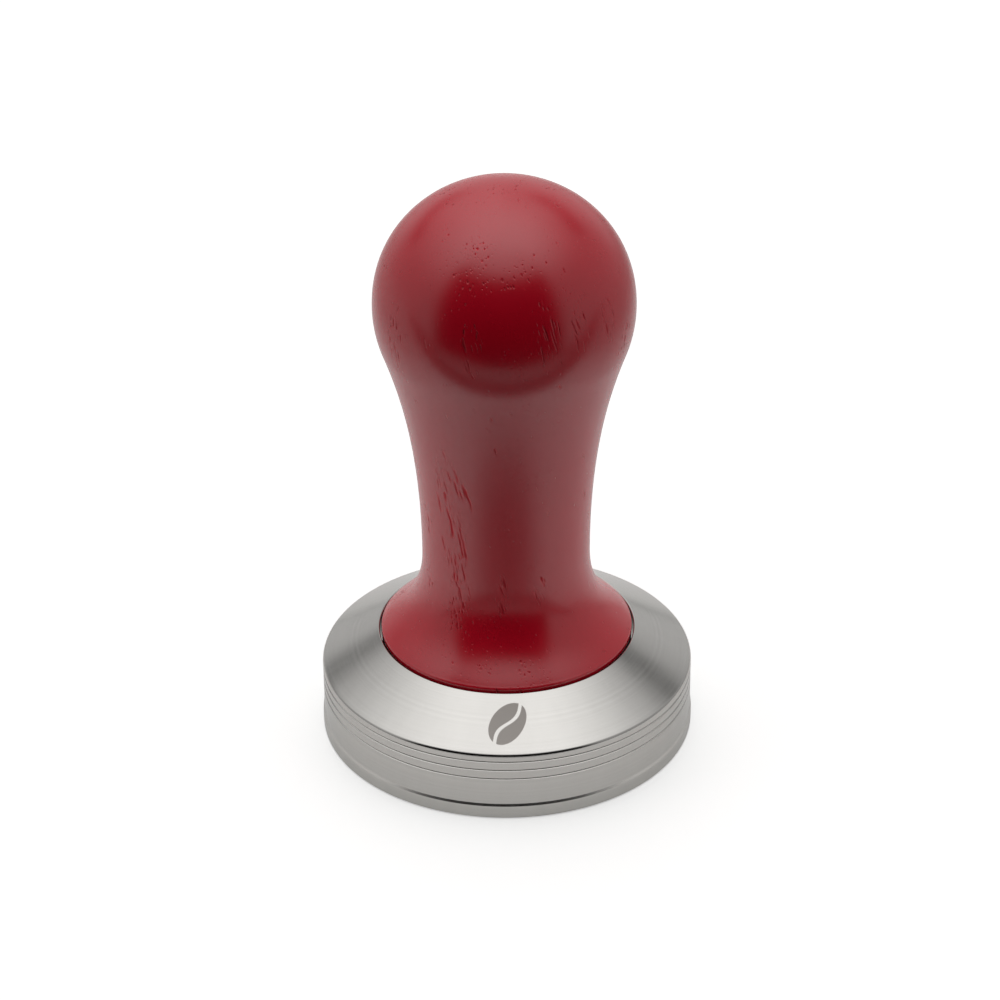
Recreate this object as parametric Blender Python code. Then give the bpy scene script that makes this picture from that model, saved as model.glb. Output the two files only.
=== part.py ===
"""Espresso tamper: a turned wooden handle that screws onto a solid stainless steel base.

The base stands on its tamping face at z = 0, and the tool's axis is +Z.
Bench order, from the bottom: tamper_base, stud, seat_gasket, threaded_insert, handle.
"""

import math

import bmesh
import bpy
from mathutils import Matrix, Vector

MM = 0.001

# ---- driving dimensions, in millimetres ----
BASE_RADIUS = 29.25  # tamping lip, for a 58.5 mm filter basket
LIP_HEIGHT = 2.6
WALL_RADIUS = 29.05  # turned wall above the lip
WALL_HEIGHT = 11.65
RIM_HEIGHT = 16.7  # top of the cone, round the handle's seat
SEAT_RADIUS = 19.95
FOOT_RADIUS = 19.65
NECK_RADIUS = 13.0
NECK_HEIGHT = 30.5
KNOB_RADIUS = 19.7
KNOB_CENTRE = 72.7  # height of the knob's widest ring
KNOB_RISE = 19.25  # from there to the top

THREAD_SIZE = 8.0  # M8 coarse
THREAD_PITCH = 1.25
STUD_LENGTH = 25.0
WOOD_THREAD_RADIUS = 7.2
WOOD_THREAD_ROOT = 5.8
WOOD_THREAD_PITCH = 3.0
INSERT_LENGTH = 18.0

# ---- derived heights ----
SEAT_DEPTH = 2.0
SEAT_FLOOR = RIM_HEIGHT - SEAT_DEPTH
GASKET_THICKNESS = 0.8
FACE_GAP = 0.3  # between two faces that rest on each other
GASKET_LOW = SEAT_FLOOR + FACE_GAP
FOOT_FACE = GASKET_LOW + GASKET_THICKNESS + FACE_GAP
LIP_TOP = RIM_HEIGHT + 0.5  # top of the foot's upright edge
INSERT_LOW = FOOT_FACE + 0.4
INSERT_HIGH = INSERT_LOW + INSERT_LENGTH
TAPPED_DEPTH = 10.2
STUD_LOW = SEAT_FLOOR - TAPPED_DEPTH + 0.6
STUD_HIGH = STUD_LOW + STUD_LENGTH

# ---- thread forms: (share of the pitch, share of the thread's depth) at each corner ----
METRIC_FORM = ((0.0, 0), (0.4375, 1), (0.5625, 1))
WOOD_FORM = ((0.0, 0), (0.5, 0), (0.75, 1))
STUD_CREST = THREAD_SIZE / 2 - 0.08
STUD_ROOT = THREAD_SIZE / 2 - 0.6134 * THREAD_PITCH - 0.04
THREAD_CLEARANCE = 0.15
WOOD_CLEARANCE = 0.3

# ---- facets round a full turn ----
BASE_FACETS = 64
HANDLE_FACETS = 48
GASKET_FACETS = 48
THREAD_FACETS = 16
INSERT_FACETS = 20


def clear_scene():
    for obj in list(bpy.data.objects):
        bpy.data.objects.remove(obj, do_unlink=True)


def finish(name, colour, roughness, metallic):
    """A Principled material, with its colour in linear light."""
    material = bpy.data.materials.new(name)
    material.use_nodes = True
    shader = material.node_tree.nodes["Principled BSDF"]
    shader.inputs["Base Color"].default_value = (*colour, 1.0)
    shader.inputs["Roughness"].default_value = roughness
    shader.inputs["Metallic"].default_value = metallic
    material.diffuse_color = (*colour, 1.0)
    return material


def add_object(name, bm, material=None):
    """Makes the bmesh, drawn in millimetres, an object of metres with outward faces."""
    bmesh.ops.recalc_face_normals(bm, faces=bm.faces)
    bmesh.ops.scale(bm, vec=(MM, MM, MM), verts=bm.verts)
    mesh = bpy.data.meshes.new(name)
    bm.to_mesh(mesh)
    bm.free()
    mesh.shade_smooth()
    mesh.set_sharp_from_angle(angle=math.radians(32))
    if material:
        mesh.materials.append(material)
    obj = bpy.data.objects.new(name, mesh)
    bpy.context.scene.collection.objects.link(obj)
    return obj


def cut(target, cutter):
    """Subtracts the cutter, which stays in the file as a wire guide."""
    cutter.hide_render = True
    cutter.display_type = "WIRE"
    boolean = target.modifiers.new("cut_" + cutter.name, "BOOLEAN")
    boolean.operation = "DIFFERENCE"
    boolean.object = cutter


def turned(outline, facets):
    """Spins an outline of (radius, height) points round the axis into a closed body.

    An outline that starts and ends on the axis closes there; any other is joined end to start.
    """
    bm = bmesh.new()
    points = [bm.verts.new((radius, 0, height)) for radius, height in outline]
    pairs = list(zip(points, points[1:]))
    if outline[0][0] > 0:
        pairs.append((points[-1], points[0]))
    edges = [bm.edges.new(pair) for pair in pairs]
    bmesh.ops.spin(
        bm,
        geom=points + edges,
        cent=(0, 0, 0),
        axis=(0, 0, 1),
        angle=math.tau,
        steps=facets,
        use_merge=True,
    )
    bmesh.ops.remove_doubles(bm, verts=bm.verts, dist=1e-4)
    return bm


def arc(centre, radius, start, end, steps):
    """Points on an arc in the outline's plane; angles in degrees from the +radius direction."""
    points = []
    for i in range(steps + 1):
        angle = math.radians(start + (end - start) * i / steps)
        points.append((centre[0] + radius * math.cos(angle), centre[1] + radius * math.sin(angle)))
    return points


def bezier(start, start_handle, end_handle, end, steps):
    """Points on a cubic Bezier curve in the outline's plane."""
    points = []
    for i in range(steps + 1):
        t = i / steps
        weights = ((1 - t) ** 3, 3 * t * (1 - t) ** 2, 3 * t * t * (1 - t), t ** 3)
        ends = (start, start_handle, end_handle, end)
        points.append(tuple(sum(w * p[k] for w, p in zip(weights, ends)) for k in (0, 1)))
    return points


def threaded_rod(form, root, crest, pitch, low, high, facets, low_taper=0.0, high_taper=0.0):
    """A right-hand threaded rod: a sheet wound along the helix, trimmed flat and capped.

    A taper makes that end's face smaller than the thread's root, by that much in radius.
    """
    taper_slope = 1.2
    bm = bmesh.new()
    corners = len(form)
    first_turn = math.floor(low / pitch) - 2
    turns = math.ceil(high / pitch) + 2 - first_turn
    rows = []
    for row in range(turns * corners):
        turn, corner = divmod(row, corners)
        pitch_share, depth_share = form[corner]
        line = []
        for facet in range(facets):
            angle = math.tau * facet / facets
            height = pitch * (first_turn + turn + pitch_share + facet / facets)
            radius = root + (crest - root) * depth_share
            if low_taper:
                radius = min(radius, root - low_taper + max(0.0, height - low) * taper_slope)
            if high_taper:
                radius = min(radius, root - high_taper + max(0.0, high - height) * taper_slope)
            line.append(bm.verts.new((radius * math.cos(angle), radius * math.sin(angle), height)))
        rows.append(line)
    for row in range(len(rows) - corners - 1):
        for facet in range(facets):
            right_row, right_facet = row, facet + 1
            if right_facet == facets:
                right_row, right_facet = row + corners, 0
            right, above_right = rows[right_row][right_facet], rows[right_row + 1][right_facet]
            bm.faces.new((rows[row][facet], right, above_right, rows[row + 1][facet]))
    for height, outward in ((low, -1), (high, 1)):
        everything = list(bm.verts) + list(bm.edges) + list(bm.faces)
        bmesh.ops.bisect_plane(
            bm,
            geom=everything,
            plane_co=(0, 0, height),
            plane_no=(0, 0, outward),
            clear_outer=True,
        )
        loose = [v for v in bm.verts if not v.link_faces]
        bmesh.ops.delete(bm, geom=loose, context="VERTS")
        at_end = [v for v in bm.verts if abs(v.co.z - height) < 1e-5]
        rim = [e for e in bm.edges if e.is_boundary and all(v in at_end for v in e.verts)]
        bmesh.ops.edgeloop_fill(bm, edges=rim)
    bmesh.ops.triangulate(bm, faces=bm.faces)
    return bm


def metric_tap(low, high):
    """The cutter for a hole that the stud's thread runs in."""
    root, crest = STUD_ROOT + THREAD_CLEARANCE, STUD_CREST + THREAD_CLEARANCE
    return threaded_rod(METRIC_FORM, root, crest, THREAD_PITCH, low, high, THREAD_FACETS)


def prism(sides, corner_radius, low, high):
    bm = bmesh.new()
    bmesh.ops.create_cone(
        bm,
        cap_ends=True,
        segments=sides,
        radius1=corner_radius,
        radius2=corner_radius,
        depth=high - low,
        matrix=Matrix.Translation((0, 0, (low + high) / 2)),
    )
    return bm


def block(size, centre):
    bm = bmesh.new()
    bmesh.ops.create_cube(bm, size=1.0)
    bmesh.ops.scale(bm, vec=size, verts=bm.verts)
    bmesh.ops.translate(bm, vec=Vector(centre), verts=bm.verts)
    return bm


def base_outline():
    """The base from the middle of its tamping face, out and up the wall, over the cone, to the seat."""
    edge_break = 0.4
    lip_round = 0.7
    lip_arc = math.degrees(math.acos(1 - (BASE_RADIUS - WALL_RADIUS) / lip_round))
    lip_centre = LIP_HEIGHT - lip_round * math.sin(math.radians(lip_arc))
    groove_heights = (7.15, 8.7, 10.2)
    groove_half_width = 0.18
    groove_depth = 0.22
    crown_round = 0.5
    cone_slope = math.degrees(math.atan2(WALL_RADIUS - SEAT_RADIUS, RIM_HEIGHT - WALL_HEIGHT))
    rim_chamfer = 0.2

    outline = [(0, 0)]
    outline += arc((BASE_RADIUS - edge_break, edge_break), edge_break, -90, 0, 2)
    outline += arc((BASE_RADIUS - lip_round, lip_centre), lip_round, 0, lip_arc, 3)
    for height in groove_heights:
        outline.append((WALL_RADIUS, height - groove_half_width))
        outline.append((WALL_RADIUS - groove_depth, height))
        outline.append((WALL_RADIUS, height + groove_half_width))
    outline += arc((WALL_RADIUS - crown_round, WALL_HEIGHT - crown_round), crown_round, 0, cone_slope, 3)
    outline.append((SEAT_RADIUS + rim_chamfer, RIM_HEIGHT))
    outline.append((SEAT_RADIUS, RIM_HEIGHT - rim_chamfer))
    outline.append((SEAT_RADIUS, SEAT_FLOOR))
    outline.append((0, SEAT_FLOOR))
    return outline


def handle_outline():
    """The handle from the middle of its foot, up the flare and the neck, over the ball-shaped knob."""
    edge_round = 0.35
    blend_angle = 20.0  # below the knob's equator, where the ball runs into the neck
    cap_squareness = 0.957
    blend = math.radians(blend_angle)
    ball_end = (KNOB_RADIUS * math.cos(blend), KNOB_CENTRE - KNOB_RADIUS * math.sin(blend))
    reach = 8.4  # how far down the ball's slope pulls the neck
    neck_end = (ball_end[0] - reach * math.tan(blend), ball_end[1] - reach)
    neck_start = (NECK_RADIUS, NECK_HEIGHT + 16.5)
    flare_handles = ((16.6, LIP_TOP + 2.4), (NECK_RADIUS, LIP_TOP + 5.3))

    outline = [(0, FOOT_FACE), (FOOT_RADIUS - 0.3, FOOT_FACE), (FOOT_RADIUS, FOOT_FACE + 0.3)]
    outline += arc((FOOT_RADIUS - edge_round, LIP_TOP), edge_round, 0, 54, 2)
    flare_start = outline.pop()
    outline += bezier(flare_start, *flare_handles, (NECK_RADIUS, NECK_HEIGHT), 7)
    outline += bezier(outline.pop(), neck_start, neck_end, ball_end, 8)
    for i in range(1, 4):
        angle = blend * (i / 4 - 1)
        outline.append((KNOB_RADIUS * math.cos(angle), KNOB_CENTRE + KNOB_RADIUS * math.sin(angle)))
    cap_steps = 9
    for i in range(cap_steps):
        angle = math.pi / 2 * i / cap_steps
        rise = math.sin(angle) ** cap_squareness
        outline.append((KNOB_RADIUS * math.cos(angle), KNOB_CENTRE + KNOB_RISE * rise))
    outline.append((0, KNOB_CENTRE + KNOB_RISE))
    return outline


def make_base(steel):
    base = add_object("tamper_base", turned(base_outline(), BASE_FACETS), steel)
    tap = metric_tap(SEAT_FLOOR - TAPPED_DEPTH, SEAT_FLOOR + 2)
    cut(base, add_object("guide_tapped_hole", tap))
    sink_low, sink_high = SEAT_FLOOR - 0.9, SEAT_FLOOR + 0.2
    sink_radius = THREAD_SIZE / 2 - 0.1
    sink = [(0, sink_low), (sink_radius, sink_low), (sink_radius + 1.1, sink_high), (0, sink_high)]
    cut(base, add_object("guide_countersink", turned(sink, 32)))
    return base


def make_stud(zinc):
    socket_across_flats = 4.0
    socket_depth = 5.0
    rod = threaded_rod(
        METRIC_FORM,
        STUD_ROOT,
        STUD_CREST,
        THREAD_PITCH,
        STUD_LOW,
        STUD_HIGH,
        THREAD_FACETS,
        low_taper=0.5,
        high_taper=0.3,
    )
    stud = add_object("stud", rod, zinc)
    corner_radius = socket_across_flats / 2 / math.cos(math.pi / 6)
    socket = prism(6, corner_radius, STUD_HIGH - socket_depth, STUD_HIGH + 1)
    cut(stud, add_object("guide_hex_socket", socket))
    return stud


def make_insert(brass):
    slot_width = 1.8
    slot_depth = 2.0
    shell = threaded_rod(
        WOOD_FORM,
        WOOD_THREAD_ROOT,
        WOOD_THREAD_RADIUS,
        WOOD_THREAD_PITCH,
        INSERT_LOW,
        INSERT_HIGH,
        INSERT_FACETS,
        high_taper=0.6,
    )
    insert = add_object("threaded_insert", shell, brass)
    cut(insert, add_object("guide_insert_thread", metric_tap(INSERT_LOW - 2, INSERT_HIGH + 2)))
    slot = block((30, slot_width, slot_depth * 2), (0, 0, INSERT_LOW))
    cut(insert, add_object("guide_drive_slot", slot))
    return insert


def make_handle(lacquered_wood):
    pilot_radius = WOOD_THREAD_ROOT - 0.6
    pilot_end = INSERT_HIGH + 3
    pilot_tip = pilot_end + 3
    handle = add_object("handle", turned(handle_outline(), HANDLE_FACETS), lacquered_wood)
    thread = threaded_rod(
        WOOD_FORM,
        WOOD_THREAD_ROOT + WOOD_CLEARANCE,
        WOOD_THREAD_RADIUS + WOOD_CLEARANCE,
        WOOD_THREAD_PITCH,
        FOOT_FACE - 2,
        INSERT_HIGH + 0.3,
        INSERT_FACETS,
    )
    cut(handle, add_object("guide_wood_thread", thread))
    pilot = [(0, INSERT_LOW), (pilot_radius, INSERT_LOW), (pilot_radius, pilot_end), (0, pilot_tip)]
    cut(handle, add_object("guide_pilot_hole", turned(pilot, 24)))
    return handle


def make_gasket(rubber):
    outer, inner = FOOT_RADIUS - 0.05, 14.0
    low, high = GASKET_LOW, GASKET_LOW + GASKET_THICKNESS
    section = [(inner, low), (outer, low), (outer, high), (inner, high)]
    return add_object("seat_gasket", turned(section, GASKET_FACETS), rubber)


def main():
    clear_scene()
    steel = finish("stainless_steel", (0.56, 0.55, 0.53), 0.25, 1.0)
    zinc = finish("zinc_plated_steel", (0.62, 0.63, 0.65), 0.35, 1.0)
    brass = finish("brass", (0.71, 0.53, 0.24), 0.35, 1.0)
    lacquered_wood = finish("red_lacquered_wood", (0.33, 0.012, 0.018), 0.38, 0.0)
    rubber = finish("black_rubber", (0.015, 0.015, 0.016), 0.7, 0.0)
    make_base(steel)
    make_stud(zinc)
    make_gasket(rubber)
    make_insert(brass)
    make_handle(lacquered_wood)


main()
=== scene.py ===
"""Looks for an espresso tamper: satin turned steel base, red lacquered wooden handle.

Each visible piece is turned or cut again at full fineness round the frame's solids. Outlines and
sizes are in millimetres, as a turner's drawing has them, and become metres where the mesh is made.
"""

import math

import bpy
from mathutils import Matrix, Vector


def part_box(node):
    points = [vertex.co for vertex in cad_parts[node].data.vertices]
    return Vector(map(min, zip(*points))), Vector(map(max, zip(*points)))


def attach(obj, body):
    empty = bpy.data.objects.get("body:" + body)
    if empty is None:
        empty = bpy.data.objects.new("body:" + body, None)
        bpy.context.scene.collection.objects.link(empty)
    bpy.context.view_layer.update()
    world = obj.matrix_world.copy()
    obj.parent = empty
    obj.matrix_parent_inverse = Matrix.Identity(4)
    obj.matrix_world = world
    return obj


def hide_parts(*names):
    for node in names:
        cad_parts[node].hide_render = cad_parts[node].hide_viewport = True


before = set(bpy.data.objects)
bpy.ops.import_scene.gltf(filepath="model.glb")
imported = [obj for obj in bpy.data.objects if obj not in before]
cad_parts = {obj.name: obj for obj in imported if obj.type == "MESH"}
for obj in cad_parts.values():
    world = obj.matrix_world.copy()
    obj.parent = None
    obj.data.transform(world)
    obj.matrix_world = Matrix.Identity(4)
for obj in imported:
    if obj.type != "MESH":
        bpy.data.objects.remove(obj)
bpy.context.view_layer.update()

MM = 0.001


# ---------------------------------------------------------------- sizes read from the frame


def frame_box(node):
    """A frame node's lowest and highest corner, in millimetres."""
    low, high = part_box(node)
    return low / MM, high / MM


_, BASE_HIGH = frame_box("tamper_base")
GASKET_LOW, GASKET_HIGH = frame_box("seat_gasket")
HANDLE_LOW, HANDLE_HIGH = frame_box("handle")
INSERT_LOW, INSERT_HIGH = frame_box("threaded_insert")
STUD_LOW, STUD_HIGH = frame_box("stud")

BASE_RADIUS = BASE_HIGH.x
RIM_HEIGHT = BASE_HIGH.z
KNOB_RADIUS = HANDLE_HIGH.x
KNOB_TOP = HANDLE_HIGH.z
FOOT_FACE = HANDLE_LOW.z

# ---------------------------------------------------------------- the maker's own sizes

WALL_RADIUS = BASE_RADIUS - 0.2
WALL_HEIGHT = RIM_HEIGHT - 5.05
LIP_HEIGHT = 2.6
GROOVE_HEIGHTS = (7.15, 8.7, 10.2)
SEAT_RADIUS = 19.95
SEAT_FLOOR = GASKET_LOW.z - 0.3
FOOT_RADIUS = SEAT_RADIUS - 0.3
LIP_TOP = RIM_HEIGHT + 0.25
NECK_RADIUS = 13.0
NECK_HEIGHT = 30.5
KNOB_RISE = 19.25  # from the knob's widest ring to its top
KNOB_CENTRE = KNOB_TOP - KNOB_RISE
THREAD_PITCH = 1.25
THREAD_CREST = 3.92
THREAD_ROOT = 3.19
WOOD_THREAD_PITCH = 3.0
WOOD_THREAD_CREST = 7.2
WOOD_THREAD_ROOT = 5.8
TAP_CLEARANCE = 0.15


# ---------------------------------------------------------------- outlines


def arc(centre, radius, start, end, steps):
    """Points on an arc; angles in degrees from the +radius direction."""
    points = []
    for i in range(steps + 1):
        angle = math.radians(start + (end - start) * i / steps)
        points.append((centre[0] + radius * math.cos(angle), centre[1] + radius * math.sin(angle)))
    return points


def bezier(start, start_handle, end_handle, end, steps):
    """Points on a cubic Bezier curve."""
    points = []
    for i in range(steps + 1):
        t = i / steps
        weights = ((1 - t) ** 3, 3 * t * (1 - t) ** 2, 3 * t * t * (1 - t), t ** 3)
        ends = (start, start_handle, end_handle, end)
        points.append(tuple(sum(w * p[k] for w, p in zip(weights, ends)) for k in (0, 1)))
    return points


def lerp(start, end, share):
    return tuple(a + (b - a) * share for a, b in zip(start, end))


def rounded(outline, radius, steps=4):
    """The outline with each inner corner taken off by a small curve."""
    points = [outline[0]]
    for before, corner, after in zip(outline, outline[1:], outline[2:]):
        into = Vector(before) - Vector(corner)
        away = Vector(after) - Vector(corner)
        reach = min(radius, into.length / 2, away.length / 2)
        start = Vector(corner) + into.normalized() * reach
        end = Vector(corner) + away.normalized() * reach
        points += bezier(tuple(start), corner, corner, tuple(end), steps)
    points.append(outline[-1])
    return points


# ---------------------------------------------------------------- modelling


def active(name):
    """Names the object that was just added, and returns it."""
    piece = bpy.context.object
    piece.name = name
    piece.data.name = name
    return piece


def deselect_all():
    bpy.ops.object.select_all(action="DESELECT")


def pick(piece):
    """Makes the piece the only one selected."""
    deselect_all()
    piece.select_set(True)
    bpy.context.view_layer.objects.active = piece


def draw_outline(outline):
    """Draws the outline in the XZ plane, as a chain of edges pulled out of one point. Stays in edit mode."""
    deselect_all()
    bpy.ops.mesh.primitive_plane_add(size=MM)
    bpy.ops.object.mode_set(mode="EDIT")
    bpy.ops.mesh.merge(type="CENTER")
    bpy.ops.transform.translate(value=(outline[0][0] * MM, 0, outline[0][1] * MM))
    for here, there in zip(outline, outline[1:]):
        step = ((there[0] - here[0]) * MM, 0, (there[1] - here[1]) * MM)
        bpy.ops.mesh.extrude_region_move(TRANSFORM_OT_translate={"value": step})
    bpy.ops.mesh.select_all(action="SELECT")


def close_up():
    """Merges the seams of the mesh in edit mode, and points its faces outwards."""
    bpy.ops.mesh.select_all(action="SELECT")
    bpy.ops.mesh.remove_doubles(threshold=1e-6)
    bpy.ops.mesh.normals_make_consistent(inside=False)
    bpy.ops.object.mode_set(mode="OBJECT")


def turn(name, outline, facets, crease=30):
    """Turns the outline round the axis, as on a lathe. A closed outline repeats its first point."""
    draw_outline(outline)
    bpy.ops.mesh.spin(steps=facets, angle=math.tau, center=(0, 0, 0), axis=(0, 0, 1))
    close_up()
    bpy.ops.object.shade_smooth_by_angle(angle=math.radians(crease))
    return active(name)


def combine(piece, tool, operation):
    """Cuts the piece with the tool, or keeps only what both share, and throws the tool away."""
    pick(piece)
    boolean = piece.modifiers.new(operation.lower(), "BOOLEAN")
    boolean.operation = operation
    boolean.object = tool
    bpy.ops.object.modifier_apply(modifier=boolean.name)
    bpy.data.objects.remove(tool, do_unlink=True)
    bpy.ops.object.shade_smooth_by_angle(angle=math.radians(30))


def threaded_rod(name, form, root, crest, pitch, low, high):
    """A right-hand thread wound up the axis, with spare turns below low and above high."""
    steps = 48
    spare = 2
    first_turn = math.floor(low / pitch) - spare
    turns = math.ceil(high / pitch) + spare - first_turn
    corners = [(root + (crest - root) * depth, pitch * (first_turn + share)) for share, depth in form]
    draw_outline(corners + [(corners[0][0], corners[0][1] + pitch)])
    bpy.ops.object.mode_set(mode="OBJECT")
    rod = active(name)
    screw = rod.modifiers.new("wind", "SCREW")
    screw.steps = screw.render_steps = steps
    screw.screw_offset = pitch * MM
    screw.iterations = turns
    screw.merge_threshold = 1e-6
    bpy.ops.object.modifier_apply(modifier=screw.name)
    bpy.ops.object.mode_set(mode="EDIT")
    bpy.ops.mesh.select_all(action="SELECT")
    bpy.ops.mesh.remove_doubles(threshold=1e-6)
    bpy.ops.mesh.fill_holes(sides=0)
    close_up()
    return rod


# One pitch of each thread, as (share of the pitch, share of the depth) for each corner.
METRIC_FORM = ((0.0, 0), (0.4375, 1), (0.5625, 1))
WOOD_FORM = ((0.0, 0), (0.5, 0), (0.75, 1))


# ---------------------------------------------------------------- the pieces


def make_base():
    """The turned base, from the middle of its tamping face, out and up, to the bottom of its hole."""
    edge_break = 0.4
    hold = 0.3  # from a corner to the next point, which keeps the shading crisp
    lip_slope = math.radians(25)  # of the chamfer from the lip in to the wall
    lip_flat = (0.12, 0.94)  # where the chamfer's flat part starts and ends, as shares of it
    lip_start = LIP_HEIGHT - (BASE_RADIUS - WALL_RADIUS) / math.tan(lip_slope)
    crown_round = 0.6
    cone_slope = math.degrees(math.atan2(WALL_RADIUS - SEAT_RADIUS, RIM_HEIGHT - WALL_HEIGHT))
    groove_half_width = 0.17
    groove_depth = 0.2
    groove_hold = groove_half_width + 0.15
    rim_round = 0.25
    hole_radius = THREAD_CREST + TAP_CLEARANCE
    countersink = 1.0
    hole_end = STUD_LOW.z - 0.6

    outline = [(0, 0), (BASE_RADIUS - edge_break - 0.5, 0)]
    outline += arc((BASE_RADIUS - edge_break, edge_break), edge_break, -90, 0, 6)
    outline += [(BASE_RADIUS, lip_start - hold), (BASE_RADIUS, lip_start - 0.05)]
    outline += [lerp((BASE_RADIUS, lip_start), (WALL_RADIUS, LIP_HEIGHT), share) for share in lip_flat]
    outline += [(WALL_RADIUS, LIP_HEIGHT + 0.03), (WALL_RADIUS, LIP_HEIGHT + hold)]
    for height in GROOVE_HEIGHTS:
        outline.append((WALL_RADIUS, height - groove_hold))
        outline.append((WALL_RADIUS, height - groove_half_width))
        outline += arc((WALL_RADIUS, height), groove_depth, -170, -190, 2)
        outline.append((WALL_RADIUS, height + groove_half_width))
        outline.append((WALL_RADIUS, height + groove_hold))
    outline += arc((WALL_RADIUS - crown_round, WALL_HEIGHT - crown_round), crown_round, 0, cone_slope, 8)
    crown_end = outline[-1]
    rim_start = (SEAT_RADIUS + rim_round, RIM_HEIGHT)
    near_crown, near_rim = lerp(crown_end, rim_start, 0.1), lerp(crown_end, rim_start, 0.9)
    outline += bezier(crown_end, near_crown, near_rim, rim_start, 8)[1:]
    outline += arc((SEAT_RADIUS + rim_round, RIM_HEIGHT - rim_round), rim_round, 90, 180, 5)[1:]
    outline.append((SEAT_RADIUS, SEAT_FLOOR))
    outline.append((hole_radius + countersink, SEAT_FLOOR))
    outline.append((hole_radius, SEAT_FLOOR - countersink))
    outline.append((hole_radius, hole_end))
    outline.append((0, hole_end))
    return turn("turned_base", outline, 256)


def make_stud():
    """The headless set screw: a thread kept to a chamfered length, with a hex socket in its upper end."""
    low, high = STUD_LOW.z, STUD_HIGH.z
    end_radius = 2.6
    chamfer = 0.9
    reach = THREAD_CREST + 0.5
    socket_radius = 2.31
    socket_depth = 5.0
    stud = threaded_rod("set_screw", METRIC_FORM, THREAD_ROOT, THREAD_CREST, THREAD_PITCH, low, high)
    blank = [
        (0, low),
        (end_radius, low),
        (reach, low + chamfer + 0.5),
        (reach, high - chamfer - 0.5),
        (end_radius + 0.2, high),
        (0, high),
    ]
    combine(stud, turn("stud_blank", blank, 48), "INTERSECT")
    deselect_all()
    bpy.ops.mesh.primitive_cylinder_add(
        vertices=6,
        radius=socket_radius * MM,
        depth=socket_depth * 2 * MM,
        location=(0, 0, high * MM),
    )
    bpy.ops.object.transform_apply(location=True, rotation=False, scale=False)
    combine(stud, active("hex_broach"), "DIFFERENCE")
    return stud


def make_insert():
    """The brass insert: a coarse thread outside, the stud's thread inside, and a driver slot below."""
    low, high = INSERT_LOW.z, INSERT_HIGH.z
    slot_width = 1.8
    slot_depth = 2.0
    insert = threaded_rod(
        "handle_insert", WOOD_FORM, WOOD_THREAD_ROOT, WOOD_THREAD_CREST, WOOD_THREAD_PITCH, low, high
    )
    reach = WOOD_THREAD_CREST + 1
    blank = [(0, low), (reach, low), (reach, high - 2), (WOOD_THREAD_ROOT - 0.5, high), (0, high)]
    combine(insert, turn("insert_blank", blank, 48), "INTERSECT")
    tap_root, tap_crest = THREAD_ROOT + TAP_CLEARANCE, THREAD_CREST + TAP_CLEARANCE
    tap = threaded_rod("tap", METRIC_FORM, tap_root, tap_crest, THREAD_PITCH, low - 2, high + 2)
    combine(insert, tap, "DIFFERENCE")
    deselect_all()
    bpy.ops.mesh.primitive_cube_add(size=1, location=(0, 0, low * MM))
    bpy.ops.object.mode_set(mode="EDIT")
    bpy.ops.transform.resize(value=(30 * MM, slot_width * MM, slot_depth * 2 * MM))
    bpy.ops.object.mode_set(mode="OBJECT")
    bpy.ops.object.transform_apply(location=True, rotation=False, scale=False)
    combine(insert, active("slot_saw"), "DIFFERENCE")
    return insert


def make_gasket():
    """The flat rubber ring under the foot, with its corners softened."""
    inner, outer = 14.0, GASKET_HIGH.x
    low, high = GASKET_LOW.z, GASKET_HIGH.z
    middle = (inner + outer) / 2
    section = [(middle, low), (outer, low), (outer, high), (inner, high), (inner, low), (middle, low)]
    return turn("rubber_ring", rounded(section, 0.2), 128)


def make_handle():
    """The turned handle, from the tip of its pilot hole, out under the foot, and up over the knob."""
    blend = math.radians(20)  # below the knob's equator, where the ball runs into the neck
    cap_squareness = 0.957
    edge_round = 0.5
    under_round = 0.3
    bore_chamfer = 0.4
    reach = 8.4  # how far down the ball's slope pulls the neck
    bore = WOOD_THREAD_CREST + 0.3
    pilot = WOOD_THREAD_ROOT - 0.6
    pilot_end = INSERT_HIGH.z + 3
    ball_end = (KNOB_RADIUS * math.cos(blend), KNOB_CENTRE - KNOB_RADIUS * math.sin(blend))
    neck_end = (ball_end[0] - reach * math.tan(blend), ball_end[1] - reach)
    neck_start = (NECK_RADIUS, NECK_HEIGHT + 16.5)
    flare_handles = ((17.1, RIM_HEIGHT + 3.2), (NECK_RADIUS, RIM_HEIGHT + 5.5))

    bore_end = INSERT_HIGH.z + 0.3
    outline = [(0, pilot_end + 3), (pilot, pilot_end), (pilot, bore_end), (bore, bore_end)]
    outline += [(bore, FOOT_FACE + bore_chamfer), (bore + bore_chamfer, FOOT_FACE)]
    outline.append((FOOT_RADIUS - under_round, FOOT_FACE))
    outline += arc((FOOT_RADIUS - under_round, FOOT_FACE + under_round), under_round, -90, 0, 4)[1:]
    outline += arc((FOOT_RADIUS - edge_round, LIP_TOP), edge_round, 0, 54, 6)
    flare_start = outline.pop()
    outline += bezier(flare_start, *flare_handles, (NECK_RADIUS, NECK_HEIGHT), 40)
    outline += bezier(outline.pop(), neck_start, neck_end, ball_end, 56)
    ball_steps = 15
    for i in range(1, ball_steps):
        angle = blend * (i / ball_steps - 1)
        outline.append((KNOB_RADIUS * math.cos(angle), KNOB_CENTRE + KNOB_RADIUS * math.sin(angle)))
    cap_steps = 64
    for i in range(cap_steps):
        angle = math.pi / 2 * i / cap_steps
        rise = math.sin(angle) ** cap_squareness
        outline.append((KNOB_RADIUS * math.cos(angle), KNOB_CENTRE + KNOB_RISE * rise))
    outline.append((0, KNOB_TOP))
    return turn("turned_handle", outline, 256)


# ---------------------------------------------------------------- shader writing


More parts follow.
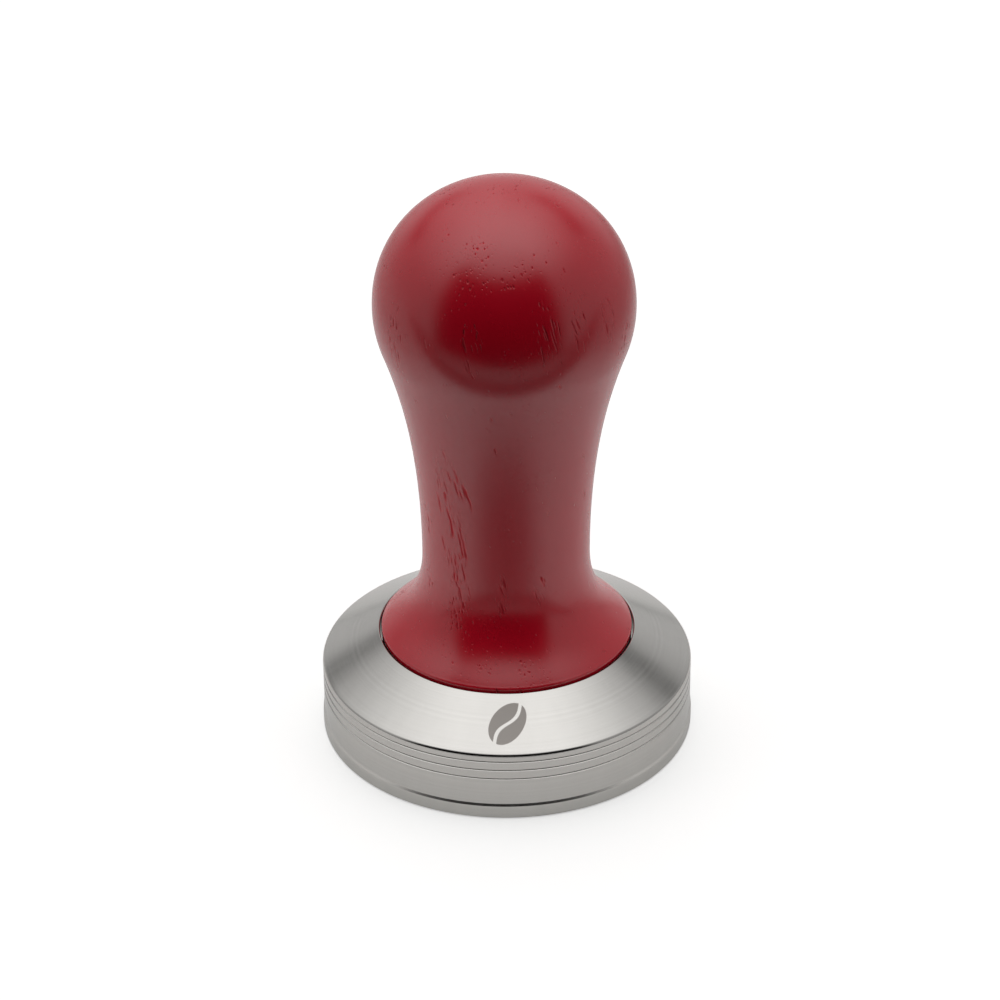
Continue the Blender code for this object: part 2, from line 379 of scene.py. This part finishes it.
class Wire:
    """One socket of a node tree. Arithmetic on wires adds Math nodes to that tree."""

    def __init__(self, tree, socket=None):
        self.tree = tree
        self.socket = socket

    def node(self, kind, settings=None, sockets=None, out=0):
        """Adds a node, makes its settings, feeds its sockets, and returns the wire of one output."""
        made = self.tree.nodes.new(kind)
        for name, value in (settings or {}).items():
            setattr(made, name, value)
        for name, value in (sockets or {}).items():
            if isinstance(value, Wire):
                self.tree.links.new(value.socket, made.inputs[name])
            else:
                made.inputs[name].default_value = value
        return Wire(self.tree, None if out is None else made.outputs[out])

    def math(self, operation, *values):
        return self.node("ShaderNodeMath", {"operation": operation}, dict(enumerate(values)))

    def __add__(self, other):
        return self.math("ADD", self, other)

    def __sub__(self, other):
        return self.math("SUBTRACT", self, other)

    def __rsub__(self, other):
        return self.math("SUBTRACT", other, self)

    def __mul__(self, other):
        return self.math("MULTIPLY", self, other)

    def __truediv__(self, other):
        return self.math("DIVIDE", self, other)

    __radd__ = __add__
    __rmul__ = __mul__

    def step(self, low, high):
        """0 up to low, 1 from high, and a smooth rise between them. It falls where high is below low."""
        rising = low < high
        sockets = {"From Min": min(low, high), "From Max": max(low, high)}
        sockets.update({"Value": self, "To Min": 0.0 if rising else 1.0, "To Max": 1.0 if rising else 0.0})
        return self.node("ShaderNodeMapRange", {"interpolation_type": "SMOOTHSTEP"}, sockets)

    def blend(self, low, high):
        """The colour low where this mask is 0, and high where it is 1."""
        return self.node("ShaderNodeMix", {"data_type": "RGBA"}, {0: self, 6: low, 7: high}, 2)

    def sibling(self, out):
        """Another output of the node that this wire comes from."""
        return Wire(self.tree, self.socket.node.outputs[out])

    def split(self):
        """The three parts of a vector."""
        x = self.node("ShaderNodeSeparateXYZ", {}, {0: self})
        return x, x.sibling(1), x.sibling(2)


class Finish:
    """A material with a Principled shader, and the wires that its patterns start from."""

    def __init__(self, name, **constants):
        self.material = bpy.data.materials.new(name)
        self.material.use_nodes = True
        self.tree = self.material.node_tree
        self.shader = self.tree.nodes["Principled BSDF"]
        for socket, value in constants.items():
            self.shader.inputs[socket.replace("_", " ")].default_value = value
        self.start = Wire(self.tree)
        self.place = self.start.node("ShaderNodeTexCoord", out="Object")

    def feed(self, socket, wire):
        self.tree.links.new(wire.socket, self.shader.inputs[socket])

    def radius(self):
        """How far a place is from the tool's axis, in metres."""
        x, y, _ = self.place.split()
        return self.start.math("SQRT", x * x + y * y)

    def rings(self, scale):
        """The rings that a lathe tool leaves, round walls and across faces alike."""
        sockets = {"W": self.radius() - self.place.split()[2], "Scale": scale}
        return self.start.node("ShaderNodeTexNoise", {"noise_dimensions": "1D"}, sockets)

    def noise(self, vector, scale, detail=2.0, roughness=0.5):
        sockets = {"Vector": vector, "Scale": scale, "Detail": detail, "Roughness": roughness}
        return self.start.node("ShaderNodeTexNoise", {}, sockets)

    def bump(self, height, distance, normal=None):
        """A relief of height (0 to 1) times a distance in metres, on top of an earlier one."""
        sockets = {"Height": height, "Distance": distance, "Strength": 1.0}
        if normal:
            sockets["Normal"] = normal
        return self.start.node("ShaderNodeBump", {}, sockets)


# ---------------------------------------------------------------- finishes


def rgb(red, green, blue):
    return (red, green, blue, 1.0)


def bean_mark(x, y, radius):
    """A coffee bean, 1 where it is etched: an oval on the front of the cone, with an S for its crease."""
    length, width, crease = 3.7e-3, 2.5e-3, 0.28e-3  # half the bean's length and width, and of the gap
    sway = 0.22  # how far the crease swings, as a share of the half width
    tilt = math.radians(32)
    cone_middle = (WALL_RADIUS + SEAT_RADIUS) / 2 * MM
    slope = math.cos(math.atan2(RIM_HEIGHT - WALL_HEIGHT, WALL_RADIUS - SEAT_RADIUS))
    down = (radius - cone_middle) * (1 / slope)
    along = x * math.sin(tilt) - down * math.cos(tilt)
    across = x * math.cos(tilt) + down * math.sin(tilt)
    oval = along * along * (1 / length ** 2) + across * across * (1 / width ** 2)
    phase = along * (math.pi / length)
    off_crease = across - phase.math("SINE", phase) * (width * sway)
    gap = off_crease.math("ABSOLUTE", off_crease)
    front = y.step(0, -0.001)
    return oval.step(1.04, 0.97) * gap.step(crease * 0.8, crease * 1.2) * front


def turned_steel():
    """Stainless steel off the lathe: fine rings, a soft haze, a few dents and the etched bean."""
    finish = Finish("satin_turned_steel", Metallic=1.0, Anisotropic=0.35, Specular_Tint=rgb(0.9, 0.9, 0.9))
    start = finish.start
    x, y, _ = finish.place.split()
    rings = finish.rings(9000.0)
    bands = finish.rings(1500.0)
    outwards = start.node("ShaderNodeVectorMath", {"operation": "NORMALIZE"}, {0: finish.place})
    sweep = start.node("ShaderNodeMapping", {}, {"Vector": outwards, "Scale": (1.0, 1.0, 0.15)})
    streaks = finish.noise(sweep, 14.0, 3.0)
    haze = finish.noise(finish.place, 60.0)
    dents = finish.noise(finish.place, 420.0, 1.0).step(0.72, 0.86)
    mark = bean_mark(x, y, finish.radius())
    worked = rings * 0.35 + bands * 0.35 + streaks * 0.3
    steel = worked.blend(rgb(0.54, 0.525, 0.50), rgb(0.70, 0.685, 0.66))
    finish.feed("Base Color", mark.blend(steel, rgb(0.33, 0.31, 0.29)))
    satin = 0.09 + rings * 0.05 + bands * 0.04 + streaks * 0.06 + haze * 0.03
    finish.feed("Roughness", satin * (1 - mark) + mark * 0.45)
    relief = finish.bump(1 - dents, 6e-6, finish.bump(rings, 1.0e-6))
    finish.feed("Normal", finish.bump(1 - mark, 8e-6, relief))
    return finish.material


# Where the pores lie open, as (x, y, height, reach across the grain, share of the pores open).
PORE_PATCHES = (
    (-8.0, -11.3, 46.5, 3.4, 0.9),
    (-7.8, -10.8, 37.0, 2.6, 0.9),
    (-7.4, -10.8, 27.0, 2.6, 0.9),
    (-12.3, -6.5, 40.0, 1.6, 0.6),
    (-11.9, -5.6, 28.5, 1.6, 0.7),
    (-0.5, -13.0, 30.0, 1.3, 0.9),
    (5.2, -11.9, 30.0, 1.2, 0.7),
    (-4.7, -18.9, 74.5, 2.0, 0.9),
    (6.4, -18.2, 76.5, 2.4, 0.8),
    (10.9, -16.0, 76.5, 1.6, 0.9),
    (15.2, -12.3, 76.0, 1.6, 0.9),
    (-16.0, -11.3, 72.0, 2.2, 0.7),
    (17.8, -8.3, 71.5, 1.6, 0.6),
    (-4.5, -14.2, 84.5, 4.0, 0.28),
    (3.0, -15.6, 83.5, 3.6, 0.24),
    (-3.0, -17.6, 19.6, 2.4, 0.4),
    (2.6, -17.8, 19.4, 2.0, 0.3),
)


def nearness(place, x, y, height, reach, flatten):
    """1 in the middle of a patch and 0 past its reach, which is longer along the grain."""
    centre = (x * MM, y * MM, height * MM * flatten)
    apart = place.node("ShaderNodeVectorMath", {"operation": "DISTANCE"}, {0: place, 1: centre}, 1)
    return apart.step(reach * MM * 1.15, reach * MM * 0.5)


def lacquered_wood():
    """Open-pored wood under a satin red lacquer. Pores are long tubes that lean with the grain."""
    finish = Finish("red_lacquered_ash", IOR=1.8)
    lean = math.radians(13)
    start = finish.start

    wander = start.node("ShaderNodeTexNoise", {}, {"Vector": finish.place, "Scale": 260.0, "Detail": 1.0}, 1)
    shift = start.node("ShaderNodeVectorMath", {"operation": "SCALE"}, {0: wander, "Scale": 0.9e-3})
    bent = start.node("ShaderNodeVectorMath", {"operation": "ADD"}, {0: finish.place, 1: shift})

    def grain(across, along):
        """The place in steps of across and along the grain, in millimetres."""
        steps = (across * MM, across * MM, along * MM)
        sockets = {"Vector": bent, "Rotation": (0, -lean, 0), "Scale": steps}
        return start.node("ShaderNodeMapping", {"vector_type": "TEXTURE"}, sockets)

    flatten = 0.38
    flat = start.node("ShaderNodeMapping", {}, {"Vector": finish.place, "Scale": (1.0, 1.0, flatten)})
    patches = 0.0
    for x, y, height, reach, share in PORE_PATCHES:
        patch = nearness(flat, x, y, height, reach, flatten) * share
        patches = patch.math("MAXIMUM", patch, patches)
    rings = finish.noise(grain(3.5, 26.0), 1.0, 1.0).step(0.56, 0.68)
    behind = finish.place.split()[1].step(-0.006, 0.002)
    open_share = patches.math("MAXIMUM", patches, rings * (0.06 + behind * 0.5) + 0.025)

    pores, throats = 0.0, 0.0
    for across, along in ((0.55, 13.0), (0.38, 5.0)):
        cell = start.node("ShaderNodeTexVoronoi", {}, {"Vector": grain(across, along), "Scale": 1.0})
        chance, girth, _ = cell.sibling(1).split()
        is_open = (open_share - chance).step(0.0, 0.04)
        inwards = cell / (0.5 + girth * 0.8)
        pores = is_open.math("MAXIMUM", inwards.step(0.46, 0.06) * is_open, pores)
        throats = is_open.math("MAXIMUM", inwards.step(0.36, 0.12) * is_open, throats)
    pit = start.node("ShaderNodeTexVoronoi", {}, {"Vector": grain(0.55, 0.9), "Scale": 1.0})
    pit_share = finish.noise(finish.place, 180.0).step(0.42, 0.64) * 0.7
    pinholes = pit.step(0.28, 0.06) * (pit_share - pit.sibling(1).split()[0]).step(0, 0.05)

    fibre = finish.noise(grain(0.35, 14.0), 1.0, 3.0)
    cloud = finish.noise(grain(5.0, 22.0), 1.0)
    stain = (fibre * 0.4 + cloud * 0.6).blend(rgb(0.60, 0.002, 0.017), rgb(0.73, 0.003, 0.022))
    finish.feed("Base Color", throats.blend(stain, rgb(0.50, 0.001, 0.014)))
    finish.feed("Metallic", throats * 0.8)
    finish.feed("Roughness", 0.21 + cloud * 0.05 + throats * 0.35)
    relief = finish.bump(fibre, 1.2e-6, finish.bump(1 - pinholes, 22e-6))
    finish.feed("Normal", finish.bump(1 - pores, 38e-6, relief))
    return finish.material


def zinc():
    """Blue-white plating, rubbed bright on the thread's crests and duller down in its roots."""
    finish = Finish("zinc_plating", Metallic=1.0)
    cloud = finish.noise(finish.place, 500.0)
    rubbed = finish.radius().step(THREAD_ROOT * MM, THREAD_CREST * MM)
    worn = cloud * 0.4 + rubbed * 0.6
    finish.feed("Base Color", worn.blend(rgb(0.40, 0.42, 0.46), rgb(0.74, 0.75, 0.77)))
    finish.feed("Roughness", 0.44 - worn * 0.22)
    return finish.material


def brass():
    """Brass with fine rings off the lathe and a slight tarnish."""
    finish = Finish("machined_brass", Metallic=1.0)
    rings = finish.rings(9000.0)
    tarnish = finish.noise(finish.place, 700.0)
    finish.feed("Base Color", tarnish.blend(rgb(0.60, 0.41, 0.16), rgb(0.80, 0.62, 0.31)))
    finish.feed("Roughness", 0.18 + tarnish * 0.14 + rings * 0.08)
    finish.feed("Normal", finish.bump(rings, 1.5e-6))
    return finish.material


def rubber():
    finish = Finish("black_rubber", Roughness=0.75)
    grain = finish.noise(finish.place, 6000.0)
    finish.feed("Base Color", grain.blend(rgb(0.010, 0.010, 0.011), rgb(0.024, 0.024, 0.025)))
    finish.feed("Normal", finish.bump(grain, 6e-6))
    return finish.material


def dress(piece, material, body, node):
    """Gives a finished piece its material, and puts it on its body in the place of the frame's node."""
    piece.data.materials.clear()
    piece.data.materials.append(material)
    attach(piece, body)
    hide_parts(node)


# ---------------------------------------------------------------- the studio


def make_floor():
    """A pale table under the tent, which ends in front of the tool. The camera sees it lit to near white. To
    other rays its colour is painted darker in front of the tool and at its sides, as painted shade for the
    tent's dark opening, and it glows faintly as painted light.
    """
    front_edge, length = -0.14, 6.0
    gap = 0.0001  # under the tamping face
    deselect_all()
    bpy.ops.mesh.primitive_plane_add(size=length, location=(0, front_edge + length / 2, -gap))
    bpy.ops.object.transform_apply(location=True, rotation=False, scale=False)
    floor = active("floor")
    material = bpy.data.materials.new("pale_floor")
    material.use_nodes = True
    tree = material.node_tree
    tree.nodes.clear()
    start = Wire(tree)
    seen = start.node("ShaderNodeLightPath", out="Is Camera Ray")
    x, y, _ = start.node("ShaderNodeTexCoord", out="Object").split()
    # Painted shade: to rays other than the camera's, the floor's colour is painted darker at its sides and
    # in front of the tool. It is darkest from about 66 to 74 mm out and a little lighter past 98 mm,
    # standing in for the tent's dark opening. The camera always sees the full pale colour.
    painted_shade_beside = 0.35 * x.step(-0.05, -0.2) + 0.5 * x.step(0.05, 0.2)
    painted_light_in_front = 0.12 + 0.88 * y.step(-0.066, -0.045) + 0.3 * y.step(-0.074, -0.098)
    painted_floor_light = painted_light_in_front * (1 - painted_shade_beside)
    lit = painted_floor_light.math("MAXIMUM", painted_floor_light, seen)
    pale = lit.blend(rgb(0, 0, 0), rgb(0.95, 0.95, 0.94))
    paint = start.node("ShaderNodeBsdfDiffuse", {}, {"Color": pale})
    # Painted light: the floor glows. The glow is faint where its painted light reaches, and stronger to the
    # camera, which lifts the floor to near white.
    strength = lit * 0.08 + seen * 0.38
    glow = start.node("ShaderNodeEmission", {}, {"Color": rgb(1, 1, 1), "Strength": strength})
    both = start.node("ShaderNodeAddShader", {}, {0: paint, 1: glow})
    start.node("ShaderNodeOutputMaterial", {}, {"Surface": both}, None)
    floor.data.materials.append(material)


def make_light_tent():
    """Soft light from all round the object, with the tent's dark opening towards the front.

    Directions are in degrees: azimuth from the front, growing to the right, and elevation.
    """
    world = bpy.data.worlds.new("light_tent")
    bpy.context.scene.world = world
    world.use_nodes = True
    tree = world.node_tree
    tree.nodes.clear()
    start = Wire(tree)
    x, y, z = start.node("ShaderNodeTexCoord", out="Generated").split()
    elevation = z.math("ARCSINE", z) * math.degrees(1)
    azimuth = x.math("ARCTAN2", x, 0 - y) * math.degrees(1)
    aside = azimuth.math("ABSOLUTE", azimuth)
    opening = azimuth.step(-68, -54) * azimuth.step(56, 44)
    on_left = azimuth.step(40, -40)
    rise = elevation.step(15, 80) * on_left + elevation.step(30, 80) * (1 - on_left)
    back = aside.step(126, 152)
    left_gap = azimuth.step(-120, -130) * elevation.step(13, 21) * elevation.step(33, 23)
    right_gap = azimuth.step(120, 130) * elevation.step(24, 32) * elevation.step(45, 37)
    gaps = left_gap.math("MAXIMUM", left_gap, right_gap) * aside.step(172, 156)
    walls = (0.38 + back * 0.2) * (1 - 0.6 * gaps)
    round_about = walls * (1 - rise) + 1.32 * rise
    overhead = 0.8 * elevation.step(43, 61) + 0.52 * elevation.step(58, 88)
    light = overhead * opening + round_about * (1 - opening)
    seen = start.node("ShaderNodeLightPath", out="Is Camera Ray")
    strength = light * (1 - seen) + seen
    glow = start.node("ShaderNodeBackground", {}, {"Color": rgb(1, 1, 1), "Strength": strength})
    start.node("ShaderNodeOutputWorld", {}, {"Surface": glow}, None)


def make_camera():
    aim = Vector((0, 0, 0.03907))
    distance = 0.5
    elevation = math.radians(29.93)
    roll = math.radians(-0.436)
    place = aim + Vector((0, -math.cos(elevation), math.sin(elevation))) * distance
    turned = Matrix.Rotation(math.pi / 2 - elevation, 3, "X") @ Matrix.Rotation(roll, 3, "Z")
    bpy.ops.object.camera_add(location=place, rotation=turned.to_euler())
    camera = bpy.context.object
    camera.name = "camera"
    camera.data.lens = 117.0
    camera.data.sensor_width = 36
    camera.data.shift_x = -0.0057
    camera.data.clip_start = 0.01
    bpy.context.scene.camera = camera


def main():
    make_camera()
    make_floor()
    make_light_tent()
    dress(make_base(), turned_steel(), "base", "tamper_base")
    dress(make_stud(), zinc(), "base", "stud")
    dress(make_gasket(), rubber(), "gasket", "seat_gasket")
    dress(make_insert(), brass(), "handle", "threaded_insert")
    dress(make_handle(), lacquered_wood(), "handle", "handle")
    bpy.context.scene.view_settings.view_transform = "Standard"


main()
